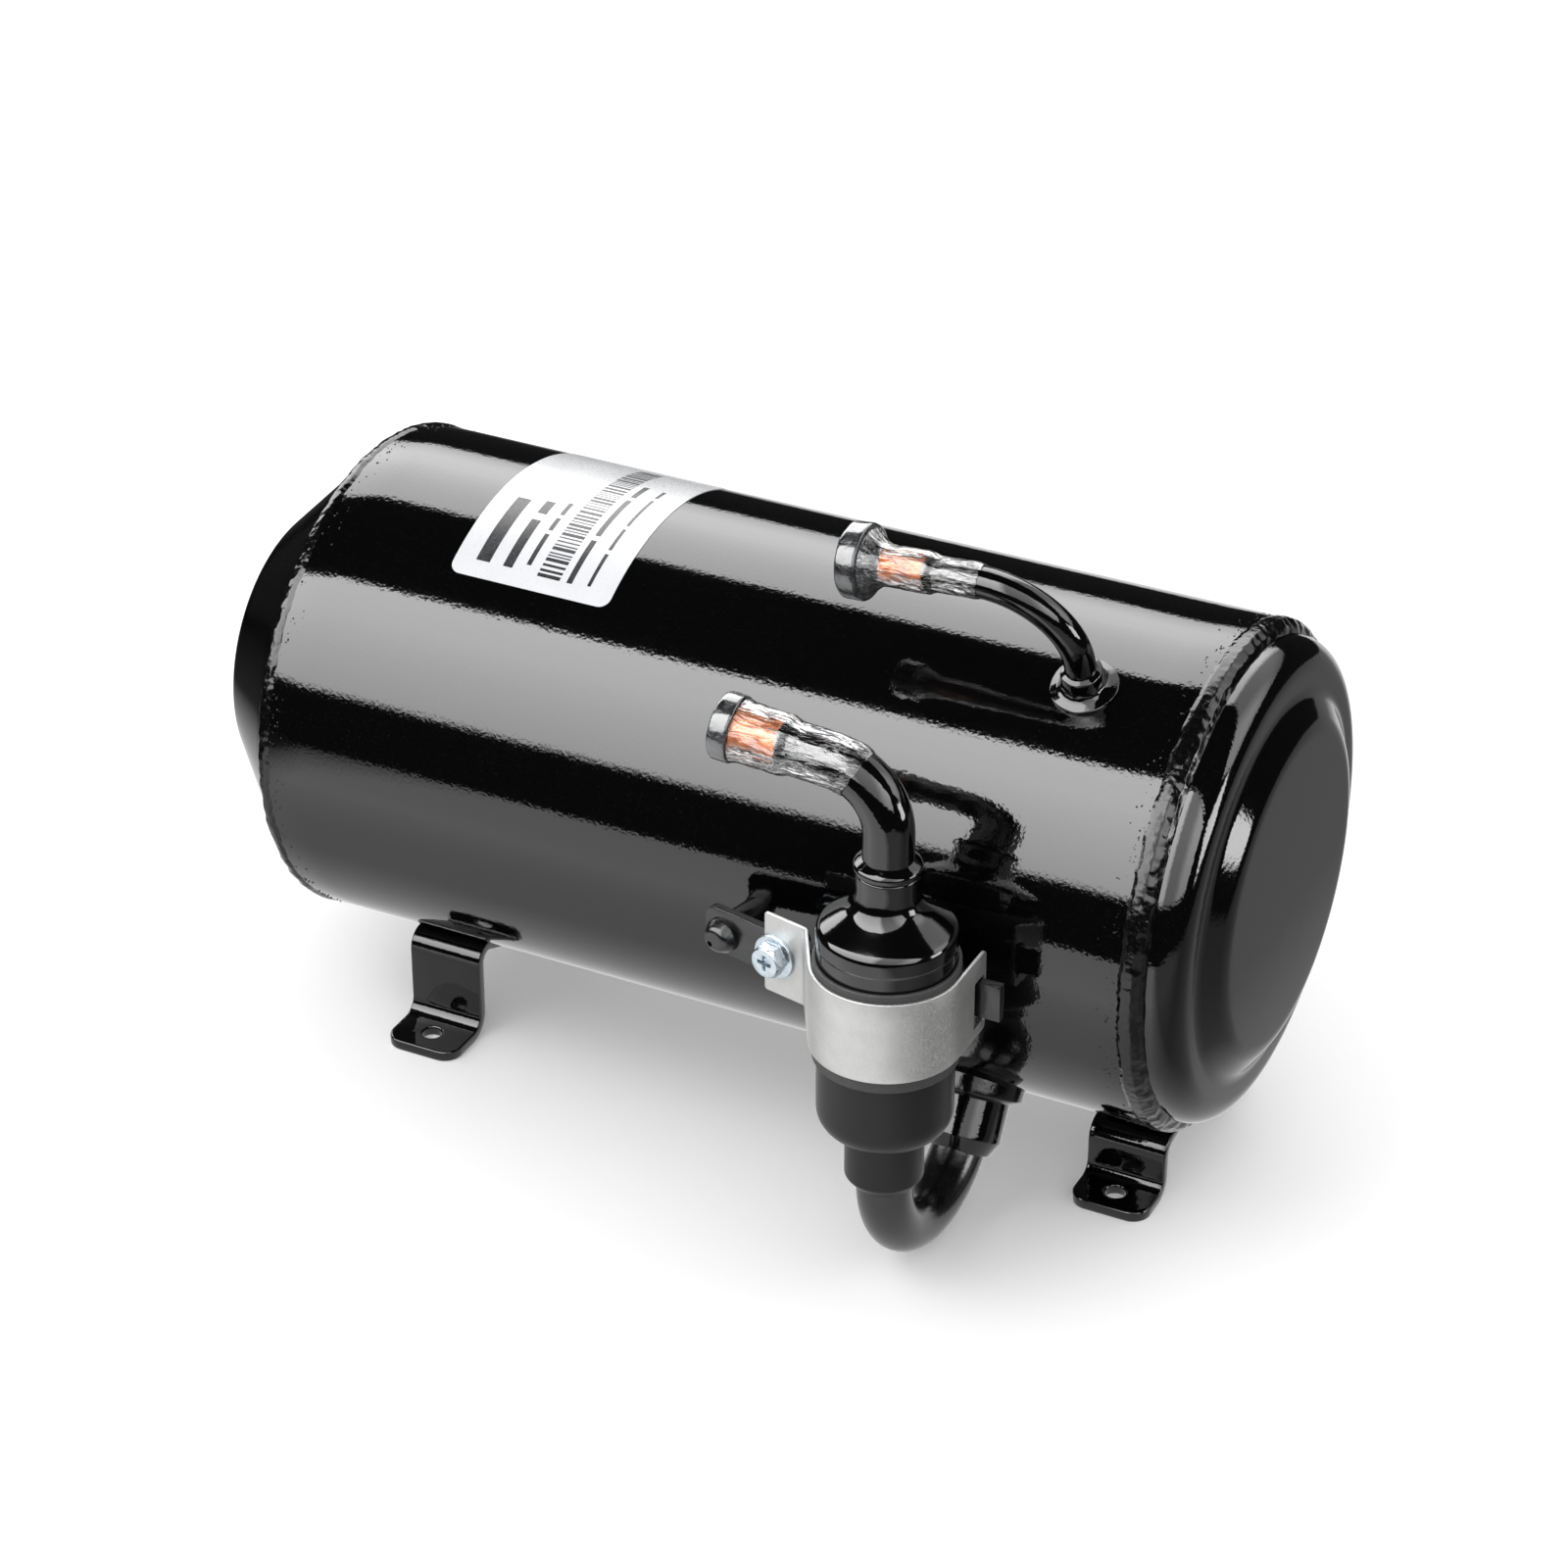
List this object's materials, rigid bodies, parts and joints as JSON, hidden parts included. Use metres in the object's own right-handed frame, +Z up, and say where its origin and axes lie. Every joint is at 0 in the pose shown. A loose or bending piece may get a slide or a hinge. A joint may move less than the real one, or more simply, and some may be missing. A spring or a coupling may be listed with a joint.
{
  "type": "refrigeration rotary compressor",
  "caption": "Horizontal black hermetic rotary compressor with a clamped suction accumulator, copper stubs closed by rubber plugs, and bent foot straps.",
  "frame": {"origin": "middle of the foot-hole pattern, on the plane that the feet stand on", "axes": "+X along the shell from the terminal end to the pump end, +Z up; the accumulator stands on the -Y side"},
  "size_m": [0.2979, 0.1771, 0.1846],
  "materials": {
    "black_paint": "glossy baked enamel with a slight orange peel",
    "weld_paint": "rough weld bead under the black enamel",
    "accumulator_paint": "semi-gloss black enamel",
    "copper": "bare copper tube, painted black near the shell",
    "shrink_film": "clear crinkled shrink film",
    "plug_rubber": "grey-black rubber under film",
    "label_paper": "satin white sticker with plain bars",
    "band_steel": "bright galvanised strip",
    "zinc": "blue-white zinc plate",
    "pad_rubber": "black rubber sheet",
    "terminal_steel": "plated steel cup",
    "glass_seal": "green-grey fused glass",
    "pin_steel": "plated steel pins",
    "connector_plastic": "moulded off-white plastic",
    "wire_sleeve": "red lead sleeves",
    "lamination_steel": "stacked sheet steel",
    "slot_film": "off-white polyester film",
    "winding_copper": "enamelled copper wire",
    "rotor_aluminium": "die-cast aluminium",
    "weight_brass": "cast brass",
    "ground_steel": "ground hardened steel",
    "pump_iron": "machined cast iron",
    "spring_steel": "spring steel",
    "bolt_steel": "black oxide steel",
    "pressed_steel": "pressed sheet steel"
  },
  "bodies": {
    "compressor": {"main_shell": "black_paint", "terminal_end_cap": "black_paint", "pump_end_cap": "black_paint", "wide_foot_strap": "black_paint", "narrow_foot_strap": "black_paint", "discharge_collar": "black_paint", "neck_ring": "black_paint", "outlet_pipe": "black_paint", "inlet_sleeve": "black_paint", "inlet_ring": "black_paint", "accumulator_bracket": "black_paint", "bracket_stud": "black_paint", "cradle_weld_pad": "black_paint", "terminal_end_weld": "weld_paint", "pump_end_weld": "weld_paint", "accumulator_shell": "accumulator_paint", "discharge_tube": "copper", "suction_tube": "copper", "inlet_liner": "copper", "discharge_film": "shrink_film", "suction_film": "shrink_film", "rating_label": "label_paper", "clamp_band": "band_steel", "clamp_screw": "zinc", "clamp_nut": "zinc", "clamp_rubber_pad": "pad_rubber", "terminal_body": "terminal_steel", "terminal_glass_seals": "glass_seal", "terminal_pins": "pin_steel", "lead_connector": "connector_plastic", "lead_wires": "wire_sleeve", "stator_core": "lamination_steel", "slot_insulation": "slot_film", "stator_windings": "winding_copper", "cylinder_block": "pump_iron", "main_bearing": "pump_iron", "sub_bearing": "pump_iron", "vane_spring": "spring_steel", "pump_bolts": "bolt_steel", "valve_rivet": "bolt_steel", "accumulator_screen": "pressed_steel", "accumulator_baffle": "pressed_steel", "pump_mounting_ring": "pressed_steel", "spring_seat": "pressed_steel", "valve_retainer": "pressed_steel", "discharge_muffler": "pressed_steel", "oil_pickup": "pressed_steel"},
    "shaft": {"crankshaft": "ground_steel", "rotor_core": "lamination_steel", "rotor_end_rings": "rotor_aluminium", "balance_weights": "weight_brass"},
    "roller": {"rolling_piston": "ground_steel"},
    "vane_body": {"vane": "ground_steel"},
    "discharge_valve": {"discharge_reed": "spring_steel"},
    "suction_plug_body": {"suction_plug": "plug_rubber"},
    "discharge_plug_body": {"discharge_plug": "plug_rubber"}
  },
  "joints": [
    {"name": "shaft_spin", "type": "hinge", "parent": "compressor", "child": "shaft", "pos_m": [0, 0, 0.0865], "axis": [1, 0, 0], "continuous": true},
    {"name": "roller_roll", "type": "hinge", "parent": "shaft", "child": "roller", "pos_m": [0.06, 0.00283, 0.08933], "axis": [1, 0, 0], "continuous": true},
    {"name": "vane_slide", "type": "slide", "parent": "compressor", "child": "vane_body", "axis": [0, 0, -1], "range_m": [-0.007, 0], "deforming": ["vane_spring"]},
    {"name": "discharge_valve_flex", "type": "hinge", "parent": "compressor", "child": "discharge_valve", "pos_m": [0.04097, 0.0313, 0.08731], "axis": [0, 0.6428, -0.766], "range_deg": [0, 5], "stiffness_Nm_per_rad": 0.05},
    {"name": "suction_plug_pull", "type": "slide", "parent": "compressor", "child": "suction_plug_body", "axis": [-0.9972, 0, 0.075], "range_m": [0, 0.04]},
    {"name": "discharge_plug_pull", "type": "slide", "parent": "compressor", "child": "discharge_plug_body", "axis": [-0.9965, 0.034, -0.0764], "range_m": [0, 0.04]}
  ],
  "couplings": [
    {"joint": "roller_roll", "follows": "shaft_spin", "ratio": -1.2222}
  ]
}
